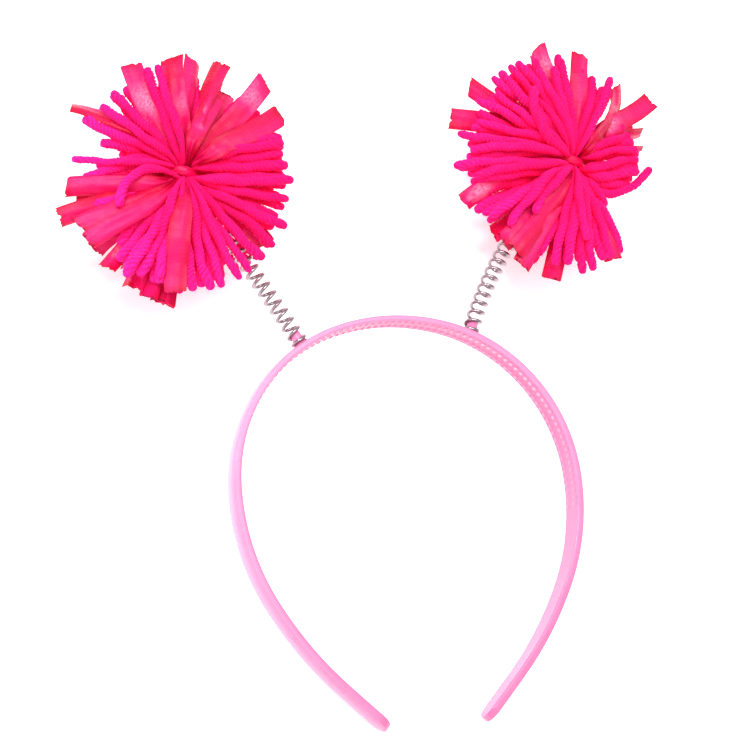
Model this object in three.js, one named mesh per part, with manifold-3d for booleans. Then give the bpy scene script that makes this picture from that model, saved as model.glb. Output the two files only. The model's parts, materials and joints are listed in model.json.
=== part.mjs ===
import * as THREE from 'three';
import { mergeVertices } from 'three/addons/utils/BufferGeometryUtils.js';
import Module from 'manifold-3d';

const wasm = await Module();
wasm.setup();

// A pompom headband, in millimetres. It is drawn in the band's own plane: x across the head, y up to the
// crown, z across the band's width. The whole then lies on its side, on its tips and the pompoms' backs.

// The middle of the band's wall, from the crown to one tip: arcs that meet tangent.
const crownHeight = 41.8;
const bandArcs = [
  { name: 'crown', length: 20, radius: 68 },
  { name: 'shoulder', length: 70, radius: 56.5 },
  { name: 'side', length: 40, radius: 76 },
  { name: 'leg', length: 35, radius: 122 },
  { name: 'foot', length: 19, radius: 1000 },
];
const bandLength = bandArcs.reduce((sum, arc) => sum + arc.length, 0);
const bandWidth = { crown: 9.4, side: 10.2, tip: 8.6 };
const bandWall = { crown: 2.4, tip: 3.4 };
const outerFace = { fall: 0.45, flat: 0.5, flatFall: 0.1 };
const edgeBevel = { most: 0.45, share: 0.2 };
const tipRound = 4.3;
const tipLeft = { width: 0.2, wall: 0.45 };

// Grip nubs on the inner face: two rows, with a whole number of nubs between two sections of the band.
const nub = { pitch: 2.42, row: 2.3, base: 1.1, top: 0.55, height: 0.6, root: 0.5, sides: 4 };
const nubsPerSection = 3;
const nubReach = 37 * nub.pitch;
const legSections = 8;
const tipSections = [0, 0.45, 0.75, 0.93, 1];

// Pegs and the springs that are pushed over them.
const peg = { radius: 1.85, height: 4.2, bevel: 0.35, sides: 8 };
const spring = { radius: 2.55, wire: 0.8, pitch: 3.5, lift: 0.85, sides: 5, steps: 7 };
const clearance = 0.3;

// How the part lies: the crown is raised by the pompoms' thickness.
const lieAngle = THREE.MathUtils.degToRad(6.7);

// The pompoms. A bundle is pinched at its waist by the tie. Its strands fan out above and below the tie
// from a flat two-lobed body that the spring's end is pushed into.
const tie = { inner: 4.7, outer: 6.1, width: 3.4, soft: 0.35, around: 10 };
const lobe = { neck: tie.inner - clearance, inside: 2.6, radius: 17, tall: 19, flat: 0.45, around: 12 };
const lobeProfile = [
  { out: 0.72, up: 0.08 },
  { out: 1, up: 0.45 },
  { out: 0.75, up: 0.82 },
  { out: 0, up: 1 },
];
const yarnLock = {
  root: 0.9, radius: 2.3, wide: 1.4, fullAt: 0.6, room: 2.3, lie: 1.72, sides: 5, rings: 3,
};
const ribbonStrip = {
  root: 3, width: 7.4, thick: 0.9, fullAt: 0.5, room: 2.6, lie: 2.2, roll: 0.45, rings: 3,
};
const rootPlace = { across: 7.5, up: 8.5, side: 4.4, front: 4 };
const strandBulge = 2.5;
const strandScatter = { clock: 3, tilt: 5, reach: 0.05 };
const springEnd = { beforeMiddle: 10.5, inside: 26, sides: 10 };
const axisSamples = 41;

// Fans of strands: clock angles from straight up as seen from the front, the tilt toward the front, the
// reach from the middle of the pompom, and how many locks or strips stand for the fan.
const leftFans = [
  { kind: 'yarn', from: -56, to: -37, tilt: 12, reach: 37, count: 2 },
  { kind: 'yarn', from: -18, to: -18, tilt: 6, reach: 36, count: 1 },
  { kind: 'yarn', from: -88, to: -67, tilt: 6, reach: 41, count: 2 },
  { kind: 'yarn', from: 64, to: 131, tilt: 10, reach: 38, count: 5 },
  { kind: 'yarn', from: 140, to: 175, tilt: 14, reach: 43, count: 3 },
  { kind: 'yarn', from: -166, to: -149, tilt: 12, reach: 42, count: 2 },
  { kind: 'ribbon', from: -30, to: -30, tilt: 12, reach: 40, count: 1 },
  { kind: 'ribbon', from: -6, to: 20, tilt: 14, reach: 38, count: 2 },
  { kind: 'ribbon', from: 40, to: 59, tilt: 12, reach: 40, count: 2 },
  { kind: 'ribbon', from: -123, to: -100, tilt: 10, reach: 44, count: 2 },
  { kind: 'ribbon', from: -137, to: -137, tilt: 4, reach: 44, count: 1 },
  { kind: 'ribbon', from: -171, to: -171, tilt: 12, reach: 45, count: 1 },
  { kind: 'yarn', from: -172, to: 172, tilt: -16, reach: 39, count: 9 },
  { kind: 'ribbon', from: -150, to: 165, tilt: -24, reach: 40, count: 5 },
  { kind: 'yarn', from: -160, to: 176, tilt: -42, reach: 38, count: 7 },
  { kind: 'yarn', from: -130, to: 140, tilt: -66, reach: 34, count: 4 },
];
const rightFans = [
  { kind: 'yarn', from: -60, to: -32, tilt: 2, reach: 43, count: 3 },
  { kind: 'yarn', from: -10, to: -10, tilt: 6, reach: 38, count: 1 },
  { kind: 'yarn', from: 12, to: 24, tilt: 8, reach: 34, count: 2 },
  { kind: 'yarn', from: -98, to: -80, tilt: -2, reach: 44, count: 2 },
  { kind: 'yarn', from: -138, to: -122, tilt: 8, reach: 40, count: 2 },
  { kind: 'yarn', from: 152, to: 184, tilt: 6, reach: 41, count: 4 },
  { kind: 'yarn', from: 100, to: 100, tilt: 4, reach: 34, count: 1 },
  { kind: 'ribbon', from: -21, to: -21, tilt: 8, reach: 43, count: 1 },
  { kind: 'ribbon', from: 4, to: 4, tilt: 2, reach: 39, count: 1 },
  { kind: 'ribbon', from: 50, to: 84, tilt: 4, reach: 37, count: 2 },
  { kind: 'ribbon', from: -70, to: -70, tilt: 0, reach: 46, count: 1 },
  { kind: 'ribbon', from: -144, to: -112, tilt: 4, reach: 43, count: 2 },
  { kind: 'ribbon', from: -164, to: -164, tilt: 4, reach: 43, count: 1 },
  { kind: 'yarn', from: -172, to: 172, tilt: -24, reach: 40, count: 9 },
  { kind: 'ribbon', from: -150, to: 165, tilt: -32, reach: 40, count: 4 },
  { kind: 'yarn', from: -160, to: 176, tilt: -48, reach: 38, count: 7 },
  { kind: 'yarn', from: -130, to: 140, tilt: -70, reach: 34, count: 4 },
];
const sides = [
  { name: 'left', sign: -1, pegPlace: 33.4, leave: 28, bend: 30, middle: [-67.5, 93, 0], face: 0 },
  { name: 'right', sign: 1, pegPlace: 28.8, leave: 23, bend: 36, middle: [74, 98.5, 0], face: 14 },
];
const fansOf = { left: leftFans, right: rightFans };

const bandPlastic = { color: 0xffb3dc, roughness: 0.3, metalness: 0 };
const springSteel = { color: 0xb9b4b8, roughness: 0.25, metalness: 1 };
const pinkYarn = { color: 0xf81f86, roughness: 0.9, metalness: 0 };
const coralRibbon = { color: 0xf23a68, roughness: 0.45, metalness: 0 };

// A repeatable number from -1 to 1 for a seed.
function scatter(seed) {
  const wave = Math.sin(seed * 12.9898 + 4.1414) * 43758.5453;
  return 2 * (wave - Math.floor(wave)) - 1;
}

// A closed body through rings of points that run anticlockwise about the way they are carried.
function loft(rings) {
  const around = rings[0].length;
  const last = (rings.length - 1) * around;
  const index = [];
  for (let i = 0; i < rings.length - 1; i += 1) {
    for (let j = 0; j < around; j += 1) {
      const a = i * around + j;
      const b = i * around + ((j + 1) % around);
      index.push(a, b, b + around, a, b + around, a + around);
    }
  }
  for (let j = 1; j < around - 1; j += 1) {
    index.push(0, j + 1, j);
    index.push(last, last + j, last + j + 1);
  }
  const geometry = new THREE.BufferGeometry().setFromPoints(rings.flat());
  geometry.setIndex(index);
  return geometry;
}

// A ring of points round a centre, in the plane of two axes.
function ringAround(centre, axisA, axisB, radius, count) {
  return Array.from({ length: count }, (_, k) => {
    const turn = (2 * Math.PI * k) / count;
    return centre.clone()
      .addScaledVector(axisA, radius * Math.cos(turn))
      .addScaledVector(axisB, radius * Math.sin(turn));
  });
}

function toSolid(geometry) {
  const bare = geometry.clone();
  bare.deleteAttribute('normal');
  bare.deleteAttribute('uv');
  const merged = mergeVertices(bare, 1e-5);
  return new wasm.Manifold(new wasm.Mesh({
    numProp: 3,
    vertProperties: new Float32Array(merged.attributes.position.array),
    triVerts: new Uint32Array(merged.index.array),
  }));
}

function toGeometry(solid) {
  const mesh = solid.getMesh();
  const geometry = new THREE.BufferGeometry();
  geometry.setAttribute('position', new THREE.BufferAttribute(new Float32Array(mesh.vertProperties), 3));
  geometry.setIndex(new THREE.BufferAttribute(new Uint32Array(mesh.triVerts), 1));
  geometry.computeVertexNormals();
  return geometry;
}

// The point, heading and outward normal of the band's wall at a length from the crown, right side positive.
function bandAt(length) {
  const sign = length < 0 ? -1 : 1;
  let left = Math.abs(length);
  let turn = 0;
  let x = 0;
  let y = crownHeight;
  for (const arc of bandArcs) {
    const run = Math.min(left, arc.length);
    const next = turn + run / arc.radius;
    x += arc.radius * (Math.sin(next) - Math.sin(turn));
    y += arc.radius * (Math.cos(next) - Math.cos(turn));
    turn = next;
    left -= run;
  }
  const way = new THREE.Vector3(Math.cos(turn), -sign * Math.sin(turn), 0);
  const out = new THREE.Vector3(sign * Math.sin(turn), Math.cos(turn), 0);
  return { point: new THREE.Vector3(sign * x, y, 0), way, out };
}

// The band's width and wall at a length from the crown, rounded off over the last stretch before a tip.
function bandSize(length) {
  const along = Math.abs(length) / bandLength;
  const width = along < 0.5
    ? THREE.MathUtils.lerp(bandWidth.crown, bandWidth.side, along * 2)
    : THREE.MathUtils.lerp(bandWidth.side, bandWidth.tip, along * 2 - 1);
  const wall = THREE.MathUtils.lerp(bandWall.crown, bandWall.tip, along);
  const past = Math.max(0, Math.abs(length) - (bandLength - tipRound)) / tipRound;
  const round = Math.sqrt(Math.max(0, 1 - past * past));
  return {
    width: width * Math.max(tipLeft.width, round),
    wall: wall * Math.max(tipLeft.wall, Math.sqrt(round)),
  };
}

// One section of the band: a flat inner face, bevelled edges and a crowned outer face.
function bandSection(length) {
  const { point, out } = bandAt(length);
  const { width, wall } = bandSize(length);
  const half = width / 2;
  const bevel = Math.min(edgeBevel.most, edgeBevel.share * wall);
  const edgeFace = wall / 2 - outerFace.fall * (wall / bandWall.crown);
  const topFace = wall / 2 - outerFace.flatFall * wall;
  const profile = [
    [-wall / 2, half - bevel],
    [-wall / 2, bevel - half],
    [bevel - wall / 2, -half],
    [edgeFace, -half],
    [topFace, -half * outerFace.flat],
    [topFace, half * outerFace.flat],
    [edgeFace, half],
    [bevel - wall / 2, half],
  ];
  return profile.map(([outward, across]) => {
    const corner = point.clone().addScaledVector(out, outward);
    corner.z = across;
    return corner;
  });
}

// Lengths of the band's sections from the crown to one tip: midway between nubs, then close at the tip.
function sectionLengths() {
  const step = nub.pitch * nubsPerSection;
  const lengths = [];
  for (let s = step / 2; s < nubReach + step; s += step) {
    lengths.push(s);
  }
  const start = lengths[lengths.length - 1];
  const end = bandLength - tipRound;
  for (let k = 1; k < legSections; k += 1) {
    lengths.push(THREE.MathUtils.lerp(start, end, k / legSections));
  }
  return lengths.concat(tipSections.map((t) => end + t * tipRound));
}

// A grip nub: a low blunt stud standing on the inner face.
function nubStud(length, across) {
  const { point, way, out } = bandAt(length);
  const { wall } = bandSize(length);
  const facing = out.clone().negate();
  const side = new THREE.Vector3().crossVectors(facing, way);
  const foot = point.clone().addScaledVector(facing, wall / 2);
  foot.z = across;
  const levels = [[-nub.root, nub.base], [nub.height, nub.top]];
  return loft(levels.map(([rise, radius]) => (
    ringAround(foot.clone().addScaledVector(facing, rise), way, side, radius, nub.sides))));
}

// The axis of a spring: it leaves the peg straight and bends toward the middle of the pompom.
function springAxis(side) {
  const { point, out } = bandAt(side.sign * side.pegPlace);
  const { wall } = bandSize(side.pegPlace);
  const foot = point.clone().addScaledVector(out, wall / 2);
  const leave = THREE.MathUtils.degToRad(side.leave);
  const way = new THREE.Vector3(side.sign * Math.sin(leave), Math.cos(leave), 0);
  const middle = new THREE.Vector3(...side.middle);
  const axis = new THREE.QuadraticBezierCurve3(foot, foot.clone().addScaledVector(way, side.bend), middle);
  return { axis, foot, way };
}

// The moulded peg that a spring is pushed over.
function pegStud(side) {
  const { foot, way } = springAxis(side);
  const depth = new THREE.Vector3(0, 0, 1);
  const across = new THREE.Vector3().crossVectors(way, depth);
  const levels = [[-bandWall.crown / 2, peg.radius], [peg.height - peg.bevel, peg.radius],
    [peg.height, peg.radius - peg.bevel]];
  return loft(levels.map(([rise, radius]) => (
    ringAround(foot.clone().addScaledVector(way, rise), depth, across, radius, peg.sides))));
}

function makeBand() {
  const right = sectionLengths();
  const lengths = right.map((s) => -s).reverse().concat(right);
  let solid = toSolid(loft(lengths.map(bandSection)));
  const first = -nubReach;
  const count = Math.round((2 * nubReach) / nub.pitch) + 1;
  for (let k = 0; k < count; k += 1) {
    for (const across of [-nub.row, nub.row]) {
      solid = solid.add(toSolid(nubStud(first + k * nub.pitch, across)));
    }
  }
  for (const side of sides) {
    solid = solid.add(toSolid(pegStud(side)));
  }
  return toGeometry(solid);
}

// Points along a spring's axis by length, from the foot to just inside the pompom's head.
function springRun(side) {
  const { axis } = springAxis(side);
  const whole = axis.getLength();
  return { axis, whole, start: spring.lift, end: whole - springEnd.beforeMiddle };
}

// A coil of round wire about its axis. The axis stays in the band's plane.
function makeSpring(side) {
  const { axis, whole, start, end } = springRun(side);
  const depth = new THREE.Vector3(0, 0, 1);
  const turns = (end - start) / spring.pitch;
  const count = Math.round(turns * spring.steps);
  const onCoil = (k) => {
    const length = THREE.MathUtils.lerp(start, end, k / count);
    const along = length / whole;
    const way = axis.getTangentAt(THREE.MathUtils.clamp(along, 0, 1));
    const across = new THREE.Vector3().crossVectors(way, depth);
    const turn = (2 * Math.PI * k) / spring.steps;
    const outward = depth.clone().multiplyScalar(Math.cos(turn)).addScaledVector(across, Math.sin(turn));
    const centre = axis.getPointAt(THREE.MathUtils.clamp(along, 0, 1));
    return { point: centre.addScaledVector(outward, spring.radius), outward };
  };
  const rings = [];
  for (let k = 0; k <= count; k += 1) {
    const { point, outward } = onCoil(k);
    const run = onCoil(k + 0.5).point.sub(onCoil(k - 0.5).point).normalize();
    const second = new THREE.Vector3().crossVectors(run, outward).normalize();
    const first = new THREE.Vector3().crossVectors(second, run);
    rings.push(ringAround(point, first, second, spring.wire / 2, spring.sides));
  }
  return loft(rings);
}

// The height over the surface that the part lies on, for a point in the band's plane and depth.
function lowestBand() {
  const lengths = sectionLengths();
  const heights = lengths.flatMap((s) => bandSection(s).map((p) => (
    p.y * Math.sin(lieAngle) + p.z * Math.cos(lieAngle))));
  return Math.min(...heights);
}
const surfaceLevel = lowestBand();
const surfaceUp = new THREE.Vector3(0, Math.sin(lieAngle), Math.cos(lieAngle));

// The pompom's own axes: across the tie, up through the bundle, and out to the front.
function pompomAxes(side) {
  const turn = THREE.MathUtils.degToRad(side.face);
  const across = new THREE.Vector3(Math.cos(turn), 0, -Math.sin(turn));
  const front = new THREE.Vector3(Math.sin(turn), 0, Math.cos(turn));
  return { across, up: new THREE.Vector3(0, 1, 0), front };
}

// Moves a point toward the front or back until it clears the spring, then up off the surface below.
function keepClear(point, axisPoints, away, room, below) {
  const nearest = axisPoints.reduce((best, p) => (
    p.distanceToSquared(point) < best.distanceToSquared(point) ? p : best));
  const gap = point.clone().sub(nearest);
  const reach = spring.radius + spring.wire / 2 + clearance + room;
  if (gap.length() < reach) {
    const along = gap.dot(away);
    const besideSquared = gap.lengthSq() - along * along;
    point.addScaledVector(away, Math.sqrt(reach * reach - besideSquared) - along);
  }
  const height = point.dot(surfaceUp) - surfaceLevel;
  if (height < below) {
    point.addScaledVector(surfaceUp, below - height);
  }
  return point;
}

// The path of a strand: from its root in a lobe of the bundle, over a small bulge, out to its end.
function strandPath(side, fan, clock, seed, size) {
  const { across, up, front } = pompomAxes(side);
  const { axis, whole, end } = springRun(side);
  const axisPoints = Array.from({ length: axisSamples }, (_, k) => (
    axis.getPointAt((k / (axisSamples - 1)) * (end / whole))));
  const angle = THREE.MathUtils.degToRad(clock + strandScatter.clock * scatter(seed));
  const tilt = THREE.MathUtils.degToRad(fan.tilt + strandScatter.tilt * scatter(seed + 0.31));
  const reach = fan.reach * (1 + strandScatter.reach * scatter(seed + 0.57));
  const bunch = Math.cos(angle) < 0 ? -1 : 1;
  const middle = new THREE.Vector3(...side.middle);
  const way = new THREE.Vector3()
    .addScaledVector(across, Math.cos(tilt) * Math.sin(angle))
    .addScaledVector(up, Math.cos(tilt) * Math.cos(angle))
    .addScaledVector(front, Math.sin(tilt));
  const start = middle.clone()
    .addScaledVector(across, rootPlace.across * Math.sin(angle))
    .addScaledVector(up, bunch * Math.max(rootPlace.up * Math.abs(Math.cos(angle)), rootPlace.side))
    .addScaledVector(front, rootPlace.front * Math.sin(tilt));
  const finish = middle.clone().addScaledVector(way, reach);
  const control = start.clone().lerp(finish, 0.5).addScaledVector(front, strandBulge);
  const curve = new THREE.QuadraticBezierCurve3(start, control, finish);
  const away = front.clone().multiplyScalar(tilt < 0 ? -1 : 1);
  return Array.from({ length: size.rings }, (_, k) => {
    const point = curve.getPoint(k / (size.rings - 1));
    return k === 0 ? point : keepClear(point, axisPoints, away, size.room, size.lie);
  });
}

// Side and face directions at each point of a path, with the face turned to the pompom's front.
function pathFrames(path, front) {
  return path.map((_, k) => {
    const before = path[Math.max(0, k - 1)];
    const after = path[Math.min(path.length - 1, k + 1)];
    const way = after.clone().sub(before).normalize();
    const sideways = new THREE.Vector3().crossVectors(front, way).normalize();
    const face = new THREE.Vector3().crossVectors(way, sideways);
    return { way, sideways, face };
  });
}

// A lock of yarn: a blunt tube of oval section that widens from its root.
function yarnGeometry(side, fan, clock, seed) {
  const path = strandPath(side, fan, clock, seed, yarnLock);
  const frames = pathFrames(path, pompomAxes(side).front);
  return loft(path.map((point, k) => {
    const along = k / (path.length - 1);
    const full = Math.min(1, along / yarnLock.fullAt);
    const radius = THREE.MathUtils.lerp(yarnLock.root, yarnLock.radius, full);
    const wide = frames[k].sideways.multiplyScalar(THREE.MathUtils.lerp(1, yarnLock.wide, along));
    return ringAround(point, wide, frames[k].face, radius, yarnLock.sides);
  }));
}

// A strip of ribbon: flat, narrow at the tie, turned a little about its own length.
function ribbonGeometry(side, fan, clock, seed) {
  const path = strandPath(side, fan, clock, seed, ribbonStrip);
  const frames = pathFrames(path, pompomAxes(side).front);
  const roll = ribbonStrip.roll * scatter(seed + 0.83);
  return loft(path.map((point, k) => {
    const along = k / (path.length - 1);
    const turn = roll * along;
    const wide = frames[k].sideways.clone().multiplyScalar(Math.cos(turn))
      .addScaledVector(frames[k].face, Math.sin(turn));
    const thick = new THREE.Vector3().crossVectors(frames[k].way, wide);
    const full = Math.min(1, along / ribbonStrip.fullAt);
    const reach = THREE.MathUtils.lerp(ribbonStrip.root, ribbonStrip.width, full) / 2;
    const corners = [[reach, 0.5], [-reach, 0.5], [-reach, -0.5], [reach, -0.5]];
    return corners.map(([w, t]) => point.clone()
      .addScaledVector(wide, w)
      .addScaledVector(thick, t * ribbonStrip.thick));
  }));
}

// Places a geometry drawn about the pompom's middle into the band's plane.
function placeOnPompom(geometry, side) {
  const { across, up, front } = pompomAxes(side);
  const place = new THREE.Matrix4().makeBasis(across, up, front).setPosition(...side.middle);
  return geometry.applyMatrix4(place);
}

// The bundle's body: two lobes that bulge out on both sides of the tie, flattened from front to back.
function lobedHead() {
  const upper = [[lobe.neck, lobe.inside]].concat(lobeProfile.map(({ out, up }) => (
    [lobe.radius * out, THREE.MathUtils.lerp(lobe.inside, lobe.tall, up)])));
  const lower = upper.map(([r, y]) => [r, -y]).reverse();
  const profile = lower.concat(upper).map(([r, y]) => new THREE.Vector2(r, y));
  return new THREE.LatheGeometry(profile, lobe.around).scale(1, 1, lobe.flat);
}

// The wrap round the waist.
function tieRing() {
  const half = tie.width / 2;
  const profile = [
    [tie.inner, -half], [tie.outer - tie.soft, -half], [tie.outer, tie.soft - half],
    [tie.outer, half - tie.soft], [tie.outer - tie.soft, half], [tie.inner, half], [tie.inner, -half],
  ];
  return new THREE.LatheGeometry(profile.map(([r, y]) => new THREE.Vector2(r, y)), tie.around);
}

// The room that the spring's end needs in the pompom.
function springSocket(side) {
  const { axis, whole, end } = springRun(side);
  const depth = new THREE.Vector3(0, 0, 1);
  const radius = spring.radius + spring.wire / 2 + clearance;
  const stop = end + spring.wire / 2 + clearance;
  const stretch = [0, 0.5, 1].map((share) => THREE.MathUtils.lerp(end - springEnd.inside, stop, share));
  return loft(stretch.map((length) => {
    const across = new THREE.Vector3().crossVectors(axis.getTangentAt(length / whole), depth);
    return ringAround(axis.getPointAt(length / whole), depth, across, radius, springEnd.sides);
  }));
}

function makePompom(side) {
  let solid = toSolid(placeOnPompom(lobedHead(), side));
  let seed = side.sign * 100;
  for (const fan of fansOf[side.name]) {
    for (let k = 0; k < fan.count; k += 1) {
      const share = fan.count === 1 ? 0.5 : k / (fan.count - 1);
      const clock = THREE.MathUtils.lerp(fan.from, fan.to, share);
      seed += 1;
      const strand = fan.kind === 'yarn' ? yarnGeometry : ribbonGeometry;
      solid = solid.add(toSolid(strand(side, fan, clock, seed)));
    }
  }
  return toGeometry(solid.subtract(toSolid(springSocket(side))));
}

function piece(name, geometry, finish) {
  const mesh = new THREE.Mesh(geometry, new THREE.MeshStandardMaterial(finish));
  mesh.name = name;
  return mesh;
}

const headband = new THREE.Group();
headband.add(piece('band', makeBand(), bandPlastic));
for (const side of sides) {
  headband.add(piece(`spring_${side.name}`, makeSpring(side), springSteel));
  headband.add(piece(`pompom_${side.name}`, makePompom(side), pinkYarn));
  headband.add(piece(`tie_${side.name}`, placeOnPompom(tieRing(), side), coralRibbon));
}

// Laid down, with the origin at the bottom centre of what is built.
headband.rotation.x = lieAngle;
headband.updateMatrixWorld(true);
const box = new THREE.Box3().setFromObject(headband, true);
headband.position.set(-(box.min.x + box.max.x) / 2, -(box.min.y + box.max.y) / 2, -box.min.z);
headband.updateMatrixWorld(true);

export default headband;
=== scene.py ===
# Pompom headband: a pink moulded band with grip nubs, two coil springs, and pompoms of yarn and satin ribbon
import json
import bpy
import numpy as np
from mathutils import Matrix


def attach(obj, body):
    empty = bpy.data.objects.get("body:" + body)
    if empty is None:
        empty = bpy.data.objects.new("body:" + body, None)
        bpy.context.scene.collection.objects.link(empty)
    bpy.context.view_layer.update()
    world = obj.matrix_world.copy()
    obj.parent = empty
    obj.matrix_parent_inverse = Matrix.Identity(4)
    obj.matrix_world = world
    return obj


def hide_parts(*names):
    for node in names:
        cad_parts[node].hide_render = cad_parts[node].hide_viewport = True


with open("model.json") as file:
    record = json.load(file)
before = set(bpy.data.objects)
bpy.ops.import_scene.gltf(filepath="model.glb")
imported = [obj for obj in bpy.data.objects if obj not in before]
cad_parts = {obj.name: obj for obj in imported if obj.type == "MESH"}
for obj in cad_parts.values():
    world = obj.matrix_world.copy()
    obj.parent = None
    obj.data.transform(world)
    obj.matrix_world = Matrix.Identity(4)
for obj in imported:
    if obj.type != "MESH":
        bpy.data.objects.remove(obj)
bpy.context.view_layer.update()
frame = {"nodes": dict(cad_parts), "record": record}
print("frame loaded:", len(frame["nodes"]), "solids")

mm = 0.001
seat = frame["record"]["mounts"][0]  # the flat inner face of the crown
seatPoint = np.array(seat["pos_m"])
seatHeight = 40.495  # that face's height in the band's own plane
acrossWay = np.array([1.0, 0.0, 0.0])
upWay = -np.array(seat["axis"])  # from the tips to the crown
frontWay = np.cross(acrossWay, upWay)  # across the band's width, away from the surface it lies on
bandToWorld = np.stack([acrossWay, upWay, frontWay])
floorWay = bandToWorld[:, 2]  # straight up, in the band's own axes


# place = seat + the point's offset from the seat turned into the world, from millimetres to metres
def place(points):
    return seatPoint + mm * ((points - np.array([0.0, seatHeight, 0.0])) @ bandToWorld)


# height over the surface = the upward part of the placed point, in millimetres
def heightOver(points):
    return place(points)[..., 2] / mm


# off the floor = points lower than a hair's breadth are lifted to it, straight up
def offFloor(points):
    return points + np.maximum(0.1 - heightOver(points), 0)[..., None] * floorWay


# unit = a vector over its own length
def unit(vectors):
    return vectors / np.maximum(np.linalg.norm(vectors, axis=-1, keepdims=True), 1e-9)


# smooth step = 3x^2 - 2x^3 between two limits
def ease(low, high, values):
    x = np.clip((values - low) / (high - low), 0.0, 1.0)
    return x * x * (3 - 2 * x)


# camera, read from the band's outline in the picture
cameraView = {
    "at": (-208.62, -113.64, 550.97),  # in the band's plane, mm
    "right": (0.94229, -0.10874, 0.31664),
    "up": (0.02759, 0.96778, 0.25027),
    "lens": 86.4,
}
seenRight = unit(np.array(cameraView["right"]))
seenUp = unit(np.array(cameraView["up"]) - seenRight * np.dot(seenRight, cameraView["up"]))
seenFront = np.cross(seenRight, seenUp)  # toward the viewer
eye = np.array(cameraView["at"])


# camera = the three seen ways as columns of its turn, at the eye
def makeCamera():
    data = bpy.data.cameras.new("camera")
    data.lens = cameraView["lens"]
    data.sensor_width = 36.0
    camera = bpy.data.objects.new("camera", data)
    turn = np.eye(4)
    turn[:3, 0], turn[:3, 1], turn[:3, 2] = [way @ bandToWorld for way in (seenRight, seenUp, seenFront)]
    turn[:3, 3] = place(eye)
    camera.matrix_world = Matrix(turn.tolist())
    bpy.context.scene.collection.objects.link(camera)
    bpy.context.scene.camera = camera


# Mesh helpers. A set of grids is an array (grid, row, column, xyz) whose columns run anticlockwise round the
# rows' way.

# grid faces = each cell's four corners, with the last column joined to the first
def tubeFaces(count, rows, columns):
    g, i, j = np.meshgrid(np.arange(count), np.arange(rows - 1), np.arange(columns), indexing="ij")
    a = (g * rows + i) * columns + j
    b = (g * rows + i) * columns + (j + 1) % columns
    return np.stack([a, b, b + columns, a + columns], -1).reshape(-1, 4)


# end faces = the first ring turned round and the last ring as it is
def capFaces(count, rows, columns):
    g = np.arange(count)[:, None] * rows
    j = np.arange(columns)[None, :]
    return np.concatenate([g * columns + j[:, ::-1], (g + rows - 1) * columns + j])


# corner map = (column share round the tube, length along it), with the seam's far side at 1
def tubeMap(along, columns):
    count, rows = along.shape
    u0 = np.broadcast_to(np.arange(columns) / columns, (count, rows - 1, columns))
    u1 = u0 + 1.0 / columns
    v0 = np.broadcast_to(along[:, :-1, None], u0.shape)
    v1 = np.broadcast_to(along[:, 1:, None], u0.shape)
    sides = np.stack([np.stack(pair, -1) for pair in ((u0, v0), (u1, v0), (u1, v1), (u0, v1))], -2)
    ends = np.concatenate([along[:, 0], along[:, -1]])
    caps = np.stack([np.full((2 * count, columns), 0.5), np.repeat(ends[:, None], columns, 1)], -1)
    return np.concatenate([sides.reshape(-1, 2), caps.reshape(-1, 2)])


# one closed surface for each tube of the set
def tubeSet(points, along, tint=None):
    count, rows, columns = points.shape[:3]
    shade = np.zeros((count, rows)) if tint is None else tint
    shade = shade if shade.ndim == 3 else shade[:, :, None]
    return {
        "points": points.reshape(-1, 3),
        "faces": [tubeFaces(count, rows, columns), capFaces(count, rows, columns)],
        "map": tubeMap(along, columns),
        "tint": np.broadcast_to(shade, points.shape[:3]).reshape(-1),
    }


# one closed ring: its rows join round to the first as its columns do
def ringSet(points, length):
    rows, columns = points.shape[:2]
    i, j = np.meshgrid(np.arange(rows), np.arange(columns), indexing="ij")
    i1, j1 = (i + 1) % rows, (j + 1) % columns
    faces = np.stack([i * columns + j, i * columns + j1, i1 * columns + j1, i1 * columns + j], -1)
    u, v = j / columns, i * length / rows
    u1, v1 = u + 1 / columns, v + length / rows
    corners = np.stack([np.stack(pair, -1) for pair in ((u, v), (u1, v), (u1, v1), (u, v1))], -2)
    return {
        "points": points.reshape(-1, 3),
        "faces": [faces.reshape(-1, 4)],
        "map": corners.reshape(-1, 2),
        "tint": np.zeros(rows * columns),
    }


sharpEdge = 66  # degrees between two faces that keep a crisp edge


# a piece = several sets joined in one mesh, in metres, with its corner map and a tint for each point
def makePiece(name, sets, material, node):
    starts = np.cumsum([0] + [len(part["points"]) for part in sets])
    points = place(np.concatenate([part["points"] for part in sets]))
    faces = [block + start for part, start in zip(sets, starts) for block in part["faces"]]
    corners = np.concatenate([block.reshape(-1) for block in faces])
    sizes = np.concatenate([np.full(len(block), block.shape[1]) for block in faces])
    mesh = bpy.data.meshes.new(name)
    mesh.vertices.add(len(points))
    mesh.vertices.foreach_set("co", points.reshape(-1))
    mesh.loops.add(len(corners))
    mesh.loops.foreach_set("vertex_index", corners)
    mesh.polygons.add(len(sizes))
    mesh.polygons.foreach_set("loop_start", np.cumsum(sizes) - sizes)
    mesh.update(calc_edges=True)
    layer = mesh.uv_layers.new(name="lengthMap")
    layer.data.foreach_set("uv", np.concatenate([part["map"] for part in sets]).reshape(-1))
    tint = mesh.attributes.new("tint", "FLOAT", "POINT")
    tint.data.foreach_set("value", np.concatenate([part["tint"] for part in sets]))
    mesh.shade_smooth()
    mesh.set_sharp_from_angle(angle=np.radians(sharpEdge))
    mesh.materials.append(material)
    piece = bpy.data.objects.new(name, mesh)
    bpy.context.scene.collection.objects.link(piece)
    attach(piece, "root")
    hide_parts(node)
    print(name, len(points), "points,", int((sizes - 2).sum()), "triangles")


# Material helpers

# linear colour from the three 0-255 values that a picture shows
def shown(red, green, blue):
    c = np.array([red, green, blue]) / 255.0
    linear = np.where(c <= 0.04045, c / 12.92, ((c + 0.055) / 1.055) ** 2.4)
    return (*[float(x) for x in linear], 1.0)


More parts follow.
